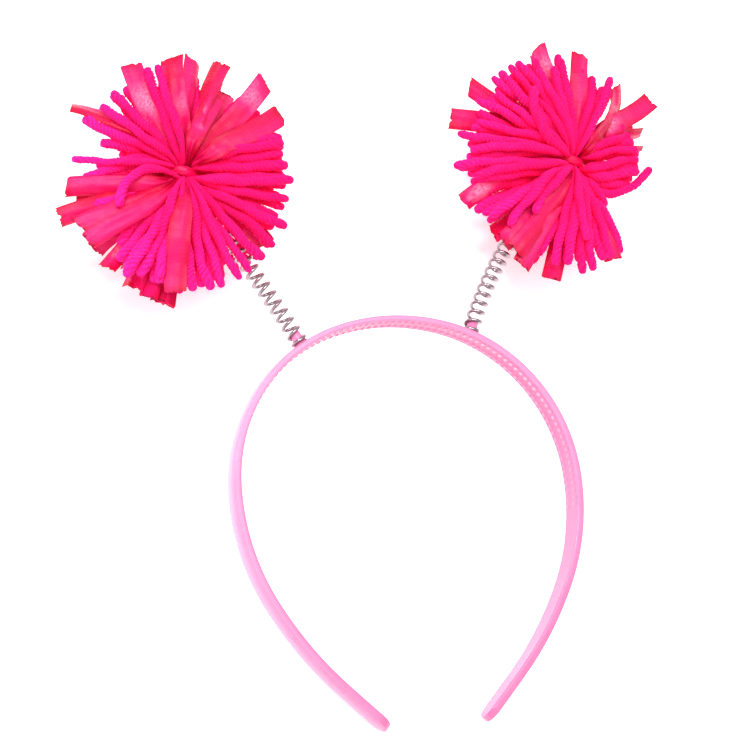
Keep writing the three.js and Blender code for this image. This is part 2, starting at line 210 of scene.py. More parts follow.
# node = its settings first, then each input as a link from a socket or as a fixed value
def addNode(tree, kind, inputs=None, **settings):
    node = tree.nodes.new(kind)
    for key, value in settings.items():
        setattr(node, key, value)
    for key, value in (inputs or {}).items():
        if isinstance(value, bpy.types.NodeSocket):
            tree.links.new(value, node.inputs[key])
        else:
            node.inputs[key].default_value = value
    return node


# one step of arithmetic on a value, or on two
def mathNode(tree, operation, first, second=None, **settings):
    inputs = {0: first} if second is None else {0: first, 1: second}
    return addNode(tree, "ShaderNodeMath", inputs, operation=operation, **settings).outputs[0]


# blend of two colours by a share
def mixNode(tree, share, first, second):
    return addNode(tree, "ShaderNodeMix", {"Factor": share, 6: first, 7: second}, data_type="RGBA").outputs[2]


# 0 to 1 stretched to low to high
def rangeTo(tree, value, low, high):
    return addNode(tree, "ShaderNodeMapRange", {"Value": value, "To Min": low, "To Max": high}).outputs[0]


# slopes from a height over the surface
def bumpFrom(tree, height, strength, distance):
    inputs = {"Height": height, "Strength": strength, "Distance": distance}
    return addNode(tree, "ShaderNodeBump", inputs).outputs[0]


# a material = its shader with the values that are the same all over
def newMaterial(name, plain):
    material = bpy.data.materials.new(name)
    material.use_nodes = True
    tree = material.node_tree
    shader = tree.nodes["Principled BSDF"]
    for key, value in plain.items():
        shader.inputs[key].default_value = value
    return material, tree, shader


# a node group = its named inputs and outputs
def newGroup(name, inputs, outputs):
    tree = bpy.data.node_groups.new(name, "ShaderNodeTree")
    for label, kind, value in inputs:
        socket = tree.interface.new_socket(label, in_out="INPUT", socket_type=kind)
        if value is not None:
            socket.default_value = value
    for label, kind in outputs:
        tree.interface.new_socket(label, in_out="OUTPUT", socket_type=kind)
    return tree, tree.nodes.new("NodeGroupInput"), tree.nodes.new("NodeGroupOutput")


# fine threads that run along a strand or wire: noise drawn out along the length map
def makeThreadGroup():
    tree, given, made = newGroup(
        "fineThreads",
        [("Map", "NodeSocketVector", None), ("Around", "NodeSocketFloat", 24.0),
         ("Along", "NodeSocketFloat", 0.4), ("Slant", "NodeSocketFloat", 0.0)],
        [("Height", "NodeSocketFloat"), ("Mask", "NodeSocketFloat")],
    )
    split = addNode(tree, "ShaderNodeSeparateXYZ", {0: given.outputs["Map"]})
    lean = mathNode(tree, "MULTIPLY", split.outputs[1], given.outputs["Slant"])
    shifted = mathNode(tree, "ADD", split.outputs[0], lean)
    across = mathNode(tree, "MULTIPLY", shifted, given.outputs["Around"])
    along = mathNode(tree, "MULTIPLY", split.outputs[1], given.outputs["Along"])
    spot = addNode(tree, "ShaderNodeCombineXYZ", {0: across, 1: along})
    noise = addNode(tree, "ShaderNodeTexNoise",
                    {"Vector": spot.outputs[0], "Scale": 1.0, "Detail": 4.0, "Roughness": 0.6})
    mask = addNode(tree, "ShaderNodeMapRange", {"Value": noise.outputs[0], "From Min": 0.3, "From Max": 0.7})
    tree.links.new(noise.outputs[0], made.inputs["Height"])
    tree.links.new(mask.outputs[0], made.inputs["Mask"])
    return tree


# soft blotches of shade over a surface, from the piece's own coordinates
def makeBlotchGroup():
    tree, given, made = newGroup(
        "softBlotches",
        [("Size", "NodeSocketFloat", 60.0), ("First", "NodeSocketColor", None),
         ("Second", "NodeSocketColor", None)],
        [("Color", "NodeSocketColor"), ("Mask", "NodeSocketFloat")],
    )
    spot = addNode(tree, "ShaderNodeTexCoord")
    noise = addNode(tree, "ShaderNodeTexNoise",
                    {"Vector": spot.outputs["Object"], "Scale": given.outputs["Size"], "Detail": 3.0})
    mask = addNode(tree, "ShaderNodeMapRange",
                   {"Value": noise.outputs[0], "From Min": 0.35, "From Max": 0.65})
    mix = mixNode(tree, mask.outputs[0], given.outputs["First"], given.outputs["Second"])
    tree.links.new(mix, made.inputs["Color"])
    tree.links.new(mask.outputs[0], made.inputs["Mask"])
    return tree


fineThreads = makeThreadGroup()
softBlotches = makeBlotchGroup()


# the fine threads on a piece's own length map
def threadsOn(tree, chart, around, along, slant=0.0):
    inputs = {"Map": chart.outputs[0], "Around": around, "Along": along, "Slant": slant}
    return addNode(tree, "ShaderNodeGroup", inputs, node_tree=fineThreads)


palePink = {
    "clouds": ((224, 120, 168), (226, 129, 175)),
    "cloudSize": 45.0,
    # painted shade: the inner face is deepened toward the first colour; painted highlight: the nubs are paled
    # toward the second
    "inner": (212, 84, 142),  # where the tint is 1
    "nub": (236, 182, 210),  # where the tint is -1
    "roughness": (0.24, 0.34),
    "peelSize": 900.0,
    "peel": (0.06, 0.0002),  # strength and depth
}


# glossy pale pink moulding: faint flow clouds in the colour and a very slight orange peel, with painted shade
# that deepens the inner face where the tint is above 0 and a painted highlight that pales the nubs where it
# is below
def makeBandPlastic():
    material, tree, shader = newMaterial("palePinkPlastic", {
        "IOR": 1.49, "Coat Weight": 0.25, "Coat Roughness": 0.12, "Subsurface Weight": 0.12,
        "Subsurface Radius": (1.0, 0.45, 0.6), "Subsurface Scale": 0.002,
    })
    first, second = [shown(*colour) for colour in palePink["clouds"]]
    inputs = {"Size": palePink["cloudSize"], "First": first, "Second": second}
    cloud = addNode(tree, "ShaderNodeGroup", inputs, node_tree=softBlotches)
    tint = addNode(tree, "ShaderNodeAttribute", attribute_name="tint").outputs["Fac"]
    # painted shade on the inner face, then a painted highlight on the nubs
    deep = mixNode(tree, tint, cloud.outputs["Color"], shown(*palePink["inner"]))
    pale = mixNode(tree, mathNode(tree, "MULTIPLY", tint, -1.0), deep, shown(*palePink["nub"]))
    tree.links.new(pale, shader.inputs["Base Color"])
    tree.links.new(rangeTo(tree, cloud.outputs["Mask"], *palePink["roughness"]), shader.inputs["Roughness"])
    spot = addNode(tree, "ShaderNodeTexCoord")
    peel = addNode(tree, "ShaderNodeTexNoise",
                   {"Vector": spot.outputs["Object"], "Scale": palePink["peelSize"], "Detail": 2.0})
    tree.links.new(bumpFrom(tree, peel.outputs[0], *palePink["peel"]), shader.inputs["Normal"])
    return material


drawnSteel = {
    "tones": ((140, 128, 134), (186, 174, 180)),
    "roughness": (0.16, 0.3),
    "lines": (0.15, 0.00005),  # strength and depth
}


# bright drawn wire: fine lines along the wire in the tone, the roughness and the height
def makeSpringSteel():
    material, tree, shader = newMaterial("drawnSteelWire", {"Metallic": 1.0, "IOR": 2.5})
    chart = addNode(tree, "ShaderNodeUVMap", uv_map="lengthMap")
    lines = threadsOn(tree, chart, 14.0, 0.3)
    tone = mixNode(tree, lines.outputs["Mask"], *[shown(*tone) for tone in drawnSteel["tones"]])
    tree.links.new(tone, shader.inputs["Base Color"])
    tree.links.new(rangeTo(tree, lines.outputs["Mask"], *drawnSteel["roughness"]), shader.inputs["Roughness"])
    tree.links.new(bumpFrom(tree, lines.outputs["Height"], *drawnSteel["lines"]), shader.inputs["Normal"])
    return material


acrylic = {
    "rose": (255, 23, 114),  # where the tint is 0
    "magenta": (252, 43, 176),  # where the tint is 1
    # painted shade: the colour in the grooves between plies and between fibres
    "between": (250, 2, 72),  # between plies and fibres
    "grooveLeast": 0.58,  # share of the strand's colour left between two plies
    "fibreLeast": 0.66,  # and between two fibres
    "plies": 4,
    "sheen": (255, 60, 150),
    # painted light: a faint red glow that lifts the shade between strands
    "paintedGlow": (255, 10, 64),
    "paintedGlowStrength": 0.09,
    "fibres": (0.6, 0.0003),  # strength and depth
}


# acrylic yarn: rose to magenta by the strand's tint, with painted shade between plies and fibres, fibres
# along each ply, and a faint painted red glow that lifts the shade between strands
def makeYarn():
    material, tree, shader = newMaterial("hotPinkYarn", {
        "IOR": 1.45, "Specular IOR Level": 0.08, "Sheen Weight": 0.12, "Sheen Roughness": 0.5,
        "Sheen Tint": shown(*acrylic["sheen"]), "Subsurface Weight": 0.6, "Subsurface Scale": 0.003,
        "Subsurface Radius": (1.0, 0.12, 0.3), "Emission Color": shown(*acrylic["paintedGlow"]),
        "Emission Strength": acrylic["paintedGlowStrength"],
    })
    chart = addNode(tree, "ShaderNodeUVMap", uv_map="lengthMap")
    fibre = threadsOn(tree, chart, 20.0, 0.7, 0.13)
    spread = addNode(tree, "ShaderNodeSeparateXYZ", {0: chart.outputs[0]})
    wound = mathNode(tree, "MULTIPLY", spread.outputs[0], 2 * np.pi * acrylic["plies"])
    ridge = mathNode(tree, "COSINE", wound)  # 1 on a ply, -1 between two
    # painted shade between plies, and fibre grain with painted shade between fibres
    groove = addNode(tree, "ShaderNodeMapRange", {
        "Value": ridge, "From Min": -1.0, "From Max": 0.2, "To Min": acrylic["grooveLeast"], "To Max": 1.0})
    fibreShade = rangeTo(tree, fibre.outputs["Mask"], acrylic["fibreLeast"], 1.0)
    paintedShade = mathNode(tree, "MULTIPLY", groove.outputs[0], fibreShade)
    tint = addNode(tree, "ShaderNodeAttribute", attribute_name="tint").outputs["Fac"]
    # painted light: the tint's magenta share at the strand ends stands for a bluish light on one side
    hue = mixNode(tree, tint, shown(*acrylic["rose"]), shown(*acrylic["magenta"]))
    tree.links.new(mixNode(tree, paintedShade, shown(*acrylic["between"]), hue), shader.inputs["Base Color"])
    tree.links.new(rangeTo(tree, fibre.outputs["Mask"], 0.95, 0.75), shader.inputs["Roughness"])
    tree.links.new(bumpFrom(tree, fibre.outputs["Height"], *acrylic["fibres"]), shader.inputs["Normal"])
    return material


satin = {
    "coral": ((192, 2, 44), (230, 24, 106)),  # where the tint is 0 and where it is 1
    "tie": ((226, 6, 80), (234, 26, 108)),
    # painted highlight colour
    "paintedHighlight": (240, 150, 186),  # where the tint is 2
    "gloss": (255, 178, 206),
    "warpShare": 0.14,  # how far the warp threads lift the colour
    "roughness": (0.2, 0.34),
    "weave": (0.45, 0.0002),  # strength and depth
}


# satin: lengthwise warp threads, fine cross threads, a soft gloss, and a speckled painted highlight where the
# tint is above 1
def makeSatin(name, base, lifted):
    material, tree, shader = newMaterial(name, {
        "IOR": 1.5, "Specular IOR Level": 0.45, "Specular Tint": shown(*satin["gloss"]), "Anisotropic": 0.4,
    })
    chart = addNode(tree, "ShaderNodeUVMap", uv_map="lengthMap")
    warp, weft, speck = [threadsOn(tree, chart, *size) for size in ((70.0, 0.25), (3.0, 5.0), (18.0, 1.0))]
    tint = addNode(tree, "ShaderNodeAttribute", attribute_name="tint").outputs["Fac"]
    tone = mixNode(tree, tint, shown(*base), shown(*lifted))
    warpLift = rangeTo(tree, warp.outputs["Mask"], 0.0, satin["warpShare"])
    line = mixNode(tree, warpLift, tone, shown(*lifted))
    # painted highlight: speckled pale colour where the tint is above 1
    over = mathNode(tree, "ADD", tint, -1.0, use_clamp=True)
    highlightMask = mathNode(tree, "MULTIPLY", over, speck.outputs["Mask"])
    tree.links.new(mixNode(tree, highlightMask, line, shown(*satin["paintedHighlight"])), shader.inputs["Base Color"])
    tree.links.new(rangeTo(tree, weft.outputs["Mask"], *satin["roughness"]), shader.inputs["Roughness"])
    both = mathNode(tree, "ADD", warp.outputs["Height"], weft.outputs["Height"])
    tree.links.new(bumpFrom(tree, both, *satin["weave"]), shader.inputs["Normal"])
    return material


bandPlastic = makeBandPlastic()
springSteel = makeSpringSteel()
hotPinkYarn = makeYarn()
coralSatin = makeSatin("coralSatin", *satin["coral"])
tieSatin = makeSatin("tieSatin", *satin["tie"])
print("materials made")


# The band

band = {
    "crownHeight": 41.8,
    "arcs": ((20, 68), (70, 56.5), (40, 76), (35, 122), (19, 1000)),  # length and radius, crown to tip
    "width": (9.4, 10.2, 8.6),  # crown, side, tip
    "wall": (2.4, 3.4),  # crown, tip
    "outerFall": 0.55,  # how far the outer face falls from its middle to its edges
    "edge": 0.5,  # rounding of the edges
    "tipRound": 4.6,
    "tipLeast": (0.1, 0.35),  # shares of the width and the wall that are left at the very tip
    "nubPitch": 2.42,
    "nubRow": 0.5,  # share of the half width
    "nubRadius": (0.84, 1.5),  # along the band and across it
    "nubHeight": 0.42,
    "nubFade": 0.65,  # how much lower the last nubs of a row are
    "nubsLeft": 41,
    "nubsRight": 42,
    "stepsPerNub": 10,
    "legStep": 1.0,
    # the inner tints deepen the inner face as painted shade, the nub tints pale the nubs as a painted
    # highlight, and the outer tints run from slightly paler at the crown to deeper at the tips
    "outerTint": (-0.1, 0.35),  # at the crown and at the tips
    "innerShadeTint": (0.65, 1.0),  # on the legs and between the nubs
    "nubTint": (0.5, 1.8),  # how much paler a nub is on the crown and on the shoulder
    "backRowHighlight": 0.6,  # share of that for the back row
}
bandHalf = sum(length for length, radius in band["arcs"])


# band path = arcs that meet tangent, walked from the crown; gives points and outward normals
def bandPath(lengths):
    sign = np.where(lengths < 0, -1.0, 1.0)
    left = np.abs(lengths)
    turn = np.zeros_like(left)
    x = np.zeros_like(left)
    y = np.full_like(left, band["crownHeight"])
    for length, radius in band["arcs"]:
        run = np.clip(left, 0, length)
        after = turn + run / radius
        x = x + radius * (np.sin(after) - np.sin(turn))
        y = y + radius * (np.cos(after) - np.cos(turn))
        turn = after
        left = left - run
    flat = np.zeros_like(x)
    points = np.stack([sign * x, y, flat], -1)
    out = np.stack([sign * np.sin(turn), np.cos(turn), flat], -1)
    return points, out


# width and wall = straight blends along the band, rounded off like an ellipse at the tips
def bandSize(lengths):
    share = np.abs(lengths) / bandHalf
    width = np.interp(share, [0, 0.5, 1], band["width"])
    wall = np.interp(share, [0, 1], band["wall"])
    past = np.clip((np.abs(lengths) - (bandHalf - band["tipRound"])) / band["tipRound"], 0, 1)
    rounded = np.sqrt(np.maximum(1 - past ** 2, 0))
    leastWide, leastThick = band["tipLeast"]
    return width * np.maximum(rounded, leastWide), wall * (leastThick + (1 - leastThick) * np.sqrt(rounded))


# section shares: inner face from front edge to back edge, close by the nub rows, then round the outside
def sectionShares():
    row = band["nubRow"]
    near = np.array([-0.34, -0.3, -0.25, -0.19, -0.12, -0.05, 0.05, 0.12, 0.19, 0.25, 0.3, 0.34])
    inner = np.concatenate([[0.89, 0.865], row - near, [0.06, -0.06], -row - near, [-0.865, -0.89]])
    outer = -np.cos(np.linspace(0, np.pi, 19))[1:-1] * 0.94
    return inner, outer


# nub height = a dome over the nearest nub of the two rows, inside the nubs' stretch, lower toward its ends
def nubHeight(lengths, across, half):
    pitch = band["nubPitch"]
    beside = np.abs(across) - band["nubRow"] * half
    along = lengths - pitch * np.round(lengths / pitch)
    far = (along / band["nubRadius"][0]) ** 2 + (beside / band["nubRadius"][1]) ** 2
    inside = (lengths > -(band["nubsLeft"] + 0.5) * pitch) & (lengths < (band["nubsRight"] + 0.5) * pitch)
    fade = 1 - band["nubFade"] * ease(0.5, 1.0, np.abs(lengths) / (band["nubsRight"] * pitch))
    return np.where(inside, band["nubHeight"] * fade * np.clip(1 - far, 0, 1) ** 0.7, 0.0)


# band surface = section (flat inner face, rounded edges, crowned outer face) carried along the arcs
def bandSurface():
    pitch = band["nubPitch"]
    step = pitch / band["stepsPerNub"]
    low, high = -(band["nubsLeft"] + 0.6) * pitch, (band["nubsRight"] + 0.6) * pitch
    end = bandHalf - band["tipRound"]
    tip = end + band["tipRound"] * np.sin(np.linspace(0, np.pi / 2, 12))[1:]
    lengths = np.concatenate([
        -tip[::-1], np.arange(-end, low, band["legStep"]), np.arange(low, high, step),
        np.arange(high, end, band["legStep"]), [end], tip,
    ])
    points, out = bandPath(lengths)
    width, wall = [size[:, None] for size in bandSize(lengths)]
    half = width / 2
    innerShare, outerShare = sectionShares()
    s = lengths[:, None]
    edge = np.minimum(np.minimum(band["edge"], 0.22 * wall), 0.1 * half)
    innerAcross = innerShare * half
    innerOut = -wall / 2 - nubHeight(s, innerAcross, half)
    outerAcross = outerShare * half
    outerOut = wall / 2 - band["outerFall"] * np.abs(outerShare) ** 2.5 * (wall / band["wall"][0])
    bend = np.linspace(0, np.pi / 2, 5)
    backFlat = outerOut[:, :1]  # outer face's height by the back edge
    innerEdgeAcross = half - edge + edge * np.sin(bend)
    innerEdgeOut = -wall / 2 + edge - edge * np.cos(bend)
    outerEdgeAcross = half - 0.5 * edge + 0.5 * edge * np.cos(bend)
    outerEdgeOut = backFlat - 0.5 * edge + 0.5 * edge * np.sin(bend)
    across = np.concatenate([innerAcross, -innerEdgeAcross, -outerEdgeAcross, outerAcross,
                             outerEdgeAcross[:, ::-1], innerEdgeAcross[:, ::-1]], 1)
    outward = np.concatenate([innerOut, innerEdgeOut, outerEdgeOut, outerOut,
                              outerEdgeOut[:, ::-1], innerEdgeOut[:, ::-1]], 1)
    surface = points[:, None] + outward[..., None] * out[:, None]
    surface[..., 2] = across
    # painted highlight on the nubs, stronger on the shoulder and weaker on the back row, and painted shade
    # deepening the inner face where the nubs run
    raised = nubHeight(s, innerAcross, half) / band["nubHeight"]
    stretch = ease(low - 4, low + 30, s) * (1 - ease(high - 50, high + 4, s))
    shoulder = ease(5, 32, s) * (1 - ease(high - 45, high + 4, s))
    row = np.where(innerAcross > 0, 1.0, band["backRowHighlight"])
    crownTint, tipTint = band["outerTint"]
    legTint, nubbedTint = band["innerShadeTint"]
    crownNub, shoulderNub = band["nubTint"]
    tint = np.zeros(across.shape) + (tipTint - crownTint) * ease(0.25, 1.0, np.abs(s) / bandHalf) + crownTint
    nubHighlight = (crownNub + (shoulderNub - crownNub) * shoulder) * raised * row
    tint[:, :innerAcross.shape[1]] = legTint + (nubbedTint - legTint) * stretch - nubHighlight
    return tubeSet(surface[None], lengths[None], tint[None])


# The pegs and the springs

springWire = {
    "radius": 2.55,
    "wire": 1.15,
    "pitch": 3.5,
    "lift": 0.85,
    "seatLift": 0.56,  # the closed last coil lies on the band
    "beforeMiddle": 10.5,  # how far short of the pompom's middle the wire ends
    "sides": 12,
    "stepsPerTurn": 28,
}
pegStud = {
    "radius": 1.9,
    "height": 4.2,
    "flare": 0.6,
    "around": 28,
}
sides = {
    "left": {"sign": -1, "pegPlace": 33.4, "leave": 28, "bend": 30, "middle": (-67.5, 93, 0), "face": 0},
    "right": {"sign": 1, "pegPlace": 28.8, "leave": 23, "bend": 36, "middle": (74, 98.5, 0), "face": 14},
}
depthWay = np.array([0.0, 0.0, 1.0])


# foot = the outer face at the peg's place along the band; way = the peg's own direction
def springFoot(side):
    length = np.array([side["sign"] * side["pegPlace"]], dtype=float)
    points, out = bandPath(length)
    wall = bandSize(length)[1]
    leave = np.radians(side["leave"])
    way = np.array([side["sign"] * np.sin(leave), np.cos(leave), 0.0])
    return points[0] + out[0] * wall[0] / 2, way


# spring axis = a quadratic curve from the foot, straight up the peg, to the middle of the pompom, by length
def springAxis(side, samples=400):
    foot, way = springFoot(side)
    middle = np.array(side["middle"], dtype=float)
    t = np.linspace(0, 1, samples)[:, None]
    curve = (1 - t) ** 2 * foot + 2 * t * (1 - t) * (foot + way * side["bend"]) + t ** 2 * middle
    walked = np.concatenate([[0], np.cumsum(np.linalg.norm(np.diff(curve, axis=0), axis=1))])
    return curve, walked


# point on a curve = straight blend between its samples, by walked length
def alongCurve(curve, walked, lengths):
    return np.stack([np.interp(lengths, walked, curve[:, k]) for k in range(3)], -1)


# coil = a ring of wire that climbs its axis: one flat turn on the band, then an even pitch
def coilSurface(side):
    curve, walked = springAxis(side)
    rise = walked[-1] - springWire["beforeMiddle"] - springWire["lift"]
    turns = np.arange(-0.8, rise / springWire["pitch"], 1.0 / springWire["stepsPerTurn"])
    lift, seatLift = springWire["lift"], springWire["seatLift"]
    climb = lift + springWire["pitch"] * np.maximum(turns, 0)
    lengths = np.where(turns < 0, lift + (lift - seatLift) * turns, climb)
    centre = alongCurve(curve, walked, lengths)
    way = unit(alongCurve(curve, walked, lengths + 0.5) - alongCurve(curve, walked, lengths - 0.5))
    acrossCoil = np.cross(way, depthWay)
    angle = 2 * np.pi * turns[:, None]
    outward = np.cos(angle) * depthWay + np.sin(angle) * acrossCoil
    wire = centre + springWire["radius"] * outward
    run = unit(np.gradient(wire, axis=0))
    second = unit(np.cross(run, outward))
    first = np.cross(second, run)
    around = 2 * np.pi * np.arange(springWire["sides"]) / springWire["sides"]
    blunt = np.ones(len(wire))
    blunt[[0, -1]] = 0.6  # wire ends slightly rounded
    ring = np.cos(around)[:, None] * first[:, None] + np.sin(around)[:, None] * second[:, None]
    surface = wire[:, None] + springWire["wire"] / 2 * blunt[:, None, None] * ring
    walkedWire = np.concatenate([[0], np.cumsum(np.linalg.norm(np.diff(wire, axis=0), axis=1))])
    return tubeSet(surface[None], walkedWire[None])


# peg = a profile of radius and height turned about the peg's direction
def pegSurface(side):
    foot, way = springFoot(side)
    radius, height, flare = pegStud["radius"], pegStud["height"], pegStud["flare"]
    profile = np.array([
        (radius + flare, -1.2), (radius + flare, -0.1), (radius + 0.45 * flare, 0.12),
        (radius + 0.12 * flare, 0.42), (radius, 0.9), (radius, height - 0.6), (radius - 0.07, height - 0.32),
        (radius - 0.25, height - 0.1), (radius - 0.6, height), (0.4, height + 0.02),
    ])
    around = 2 * np.pi * np.arange(pegStud["around"]) / pegStud["around"]
    acrossPeg = np.cross(way, depthWay)
    ring = np.cos(around)[:, None] * depthWay + np.sin(around)[:, None] * acrossPeg
    surface = foot + profile[:, 1, None, None] * way + profile[:, 0, None, None] * ring
    return tubeSet(surface[None], profile[None, :, 1])


makePiece("band_moulding", [bandSurface()] + [pegSurface(side) for side in sides.values()],
          bandPlastic, "band")
for name, side in sides.items():
    makePiece(f"spring_coil_{name}", [coilSurface(side)], springSteel, f"spring_{name}")
print("band and springs made")


# The pompoms. Seen fans are read from the picture: clock angles from straight up about the tie, the tilt
# toward the front, the length seen, a sideways curl of the end and a roll of the ribbon's face. The rest
# fills the back.

tieWrap = {
    "inner": 4.6,
    "outer": 5.8,
    "width": 3.4,
    "creases": 3,
    "creaseDepth": 0.22,
    "climb": 1.3,  # how far the wrap leans from level
    "square": 0.55,  # 1 is a round section, less is squarer
    "around": 72,
    "section": 28,
}
yarnStrand = {
    "radius": 1.72,
    "plies": acrylic["plies"],
    "ply": 1.12,  # radius of a ply
    "plyOut": 0.6,  # how far a ply's middle lies from the strand's
    "twist": 5.8,  # length of one turn
    "twistSpread": (0.85, 1.2),
    "fatSpread": 0.07,
    "endRound": (1.0, 0.95, 0.84, 0.62, 0.26),  # shares of the radius at the last rows
    "rootShare": 0.5,  # share of the radius at the tie
    "fullAt": 0.42,  # share of the length where it has its full radius
    "wiggle": 0.2,
    "rows": 38,
    "sides": 16,
}
fuzz = {
    "perStrand": 44,
    "endShare": 0.3,  # share of the hairs that stand at the end
    "length": (0.6, 1.7),
    "thick": 0.09,
    "lean": 0.45,
    "points": 4,
}
ribbonStrip = {
    "half": 3.4,
    "rootHalf": 1.3,
    "thick": 0.26,
    "fullAt": 0.45,
    "fold": 0.6,
    "cup": 0.6,
    "wave": 0.7,
    "crumple": 0.18,
    "fray": 1.1,
    "cutSlant": 0.9,
    "rollSpread": 0.13,
    "tintSpread": 0.16,
    # painted highlight: its strength, and how far round the clock a patch spreads
    "paintedHighlight": 1.3,
    "highlightSpread": 4,  # degrees of the clock
    "rows": 38,
    "across": 13,
}
bundle = {
    "rootAcross": 3.6,
    "rootFront": 4.0,
    "rootUp": 2.0,
    "knotFront": 5.0,
    "rise": 2.6,  # how far a front strand rises over the tie as it leaves it
    "bulge": 0.1,
    "endTilt": 0.55,  # share of its tilt that a seen strand keeps at its end
    "wander": 0.7,
    "points": 14,
    "rounds": 36,
    "seenEase": 0.22,  # how freely a seen strand moves aside
    "layer": 0.9,  # how much a strand that tilts more to the front is pushed over the others, mm
    "fillYarns": 68,
    "fillRibbons": 13,
    "fillReach": (28.0, 37.0),  # at the back and at the rim
    "fillTilt": (-80, 0),
    "openReach": 0.55,  # share of its reach that a rim strand keeps in an open stretch
    "leave": (3.5, 1.8),  # how far a seen strand and a filling one run along the bundle first
    "seenScatter": (0.8, 1.5, 0.012, 0.5, 4),  # clock, tilt, share of the length, bow, roll
    "fillScatter": (4, 3, 0.04, 1.5, 40),
}
goldenAngle = 137.508
leftRibbons = (  # clock, tilt, length, bow, roll
    (-60.6, 5, 43, 4, 52), (-27, 13, 39.6, -2, 10), (-8, 17, 37.5, 0, -8), (3, 10, 37, 0, 45),
    (19, 16, 37.7, -0.9, -10), (23.4, 19, 28, 0, 10), (41, 13, 39.7, 1.6, 8), (58, 15, 36.2, 2, -12),
    (-97.5, 4, 39.4, 0.5, 8), (-104.7, -8, 37.4, 0, 20), (-111, 2, 44.5, 0, -22),
    (-115.5, 8, 39.5, 0, 24), (-125, 17, 40, -1, -5), (-139.3, 3, 41, 0, 12), (-150, -6, 38, 0, 12),
    (-156.5, -1, 42.5, 0, 6), (-162, 1, 44, 0, 10), (-167, -2, 44.6, 0, -6), (-173, 2, 44.9, 0, -14),
    (-175.5, 21, 40, 0.5, -3),
)
leftYarns = (  # from, to, count, tilt, length, bow
    (-52.3, -42.4, 2, 10, 35.3, 0), (-58, -36, 4, 3, 33.5, 0), (-19, -15.5, 2, 20, 36, 0),
    (-34, -14, 3, 3, 34.5, 0), (-63.4, -63.4, 1, 6, 36.6, -1.6), (-83.9, -83.9, 1, 7, 37.6, -1.6),
    (-90, -90, 1, 5, 34.2, -0.5), (-117.5, -117.5, 1, 22, 25, 7.8), (-100, -70, 3, 1, 30, 0),
    (8, 52, 4, 2, 31, 0), (68, 86, 5, 11, 33, 1), (88, 93, 2, 9, 33.5, 0),
    (95.3, 105.2, 2, 14, 34.8, 0.5), (78, 100, 4, 2, 30, 0), (58, 104, 9, 6, 32.5, 0),
    (118.6, 139, 3, 13, 38.4, 0), (110, 130, 4, 4, 34, 0), (147.3, 147.3, 1, 13, 38.5, 0),
    (155, 176, 4, 15, 40, 0), (160, 178, 5, 6, 38, 0), (132, 160, 5, -24, 37, 0),
    (-166.2, -166.2, 1, 16, 36.1, 1), (-155.8, -155.8, 1, 14, 37.2, 0), (-149, -149, 1, 11, 39.6, 0),
    (-179, -143, 9, 4, 37.5, 0), (-138, -112, 4, 5, 33, 0),
)
rightRibbons = (
    (-18.7, 4, 42.6, 0, -4), (4.4, 5, 38.5, 0.5, 0), (26.6, 0, 30.5, 5, 58), (50.9, -8, 35.3, 0, 18),
    (70, -12, 25.7, -2, 70), (82, -9, 24, 0, 62), (96, -9, 21, 0, -60), (-54, 2, 46.4, 0, 8),
    (-70.9, 6, 47, 1.4, 6), (-111, 8, 42.7, 3.5, 0), (-146.5, 15, 39.5, 0, -5), (-139.5, 9, 38.5, 0, 4),
    (-131, 2, 40, 0, 10), (-151.7, 4, 42.1, 0, 12), (-165.4, 3, 42.9, 0, 15), (159.5, 0, 38.3, 0, 30),
)
rightYarns = (
    (-9.3, -9.3, 1, 13, 36.9, 0.8), (-22, -15, 2, 12, 35, 0), (-29, -29, 1, 22, 30.6, -5.3),
    (-39.4, -28.4, 3, 13, 41.3, 0), (-45.6, -45.6, 1, 9, 41.8, 0), (-50.5, -50.5, 1, 15, 37.6, -1),
    (-57.8, -57.8, 1, 11, 41.7, 0), (-78.2, -78.2, 1, 10, 43, 0), (-84.8, -84.8, 1, 14, 37.5, 1),
    (-93.5, -90, 2, 12, 42.6, 1), (-98.8, -98.8, 1, 14, 37.1, 2), (-118.4, -118.4, 1, 7, 40.1, 1),
    (-125, -125, 1, 16, 36.4, 2), (-135, -135, 1, 21, 33, 4.9), (-143.7, -143.7, 1, 25, 24, 3.4),
    (-176.6, -169.4, 2, 10, 37.9, 0), (169.5, 176.7, 2, 7, 40, 0), (153.8, 153.8, 1, 1, 36.2, 0),
    (175.4, 175.4, 1, 20, 28.6, 0.5), (146, 146, 1, 2, 19.5, 0), (95.4, 95.4, 1, 4, 27.4, 8.7),
    (11.5, 11.5, 1, 9, 31.4, 1.6), (22, 22, 1, 7, 31.9, 0.7), (13, 27, 3, 1, 27.5, 0.5),
    (56, 114, 9, -9, 21.4, 0), (80, 99, 5, 0, 22.5, 0), (100, 128, 4, -12, 19, 0),
    (-68, -10, 12, 6, 38.5, 0), (-132, -72, 11, 6, 38.5, 0), (158, 198, 7, 4, 36.4, 0),
    (-160, -140, 3, 6, 35.3, 0),
)
pompoms = {
    "left": {
        "ribbons": leftRibbons,
        "yarns": leftYarns,
        "open": ((-83, -65), (-97, -88), (103, 118)),  # stretches of the clock with no strand behind
        # painted highlight on a ribbon: its clock angle, the share of its length and how long the patch is
        "paintedGlints": ((-27, 0.72, 0.17), (-8, 0.6, 0.15), (19, 0.55, 0.09), (41, 0.88, 0.1),
                   (-139.3, 0.9, 0.05)),
        "turn": 8,  # of the fill's axis, degrees
        # painted light: how far the ends on the lower left are tinted magenta
        "magenta": 0.62,  # how far the ends turn from rose
        "seed": 11,
    },
    "right": {
        "ribbons": rightRibbons,
        "yarns": rightYarns,
        "open": ((24, 54), (98, 147)),
        "paintedGlints": ((-18.7, 0.88, 0.1), (50.9, 0.55, 0.1), (96, 0.5, 0.2), (-111, 0.9, 0.08)),
        "turn": 30,
        "magenta": 0.34,
        "seed": 23,
    },
}


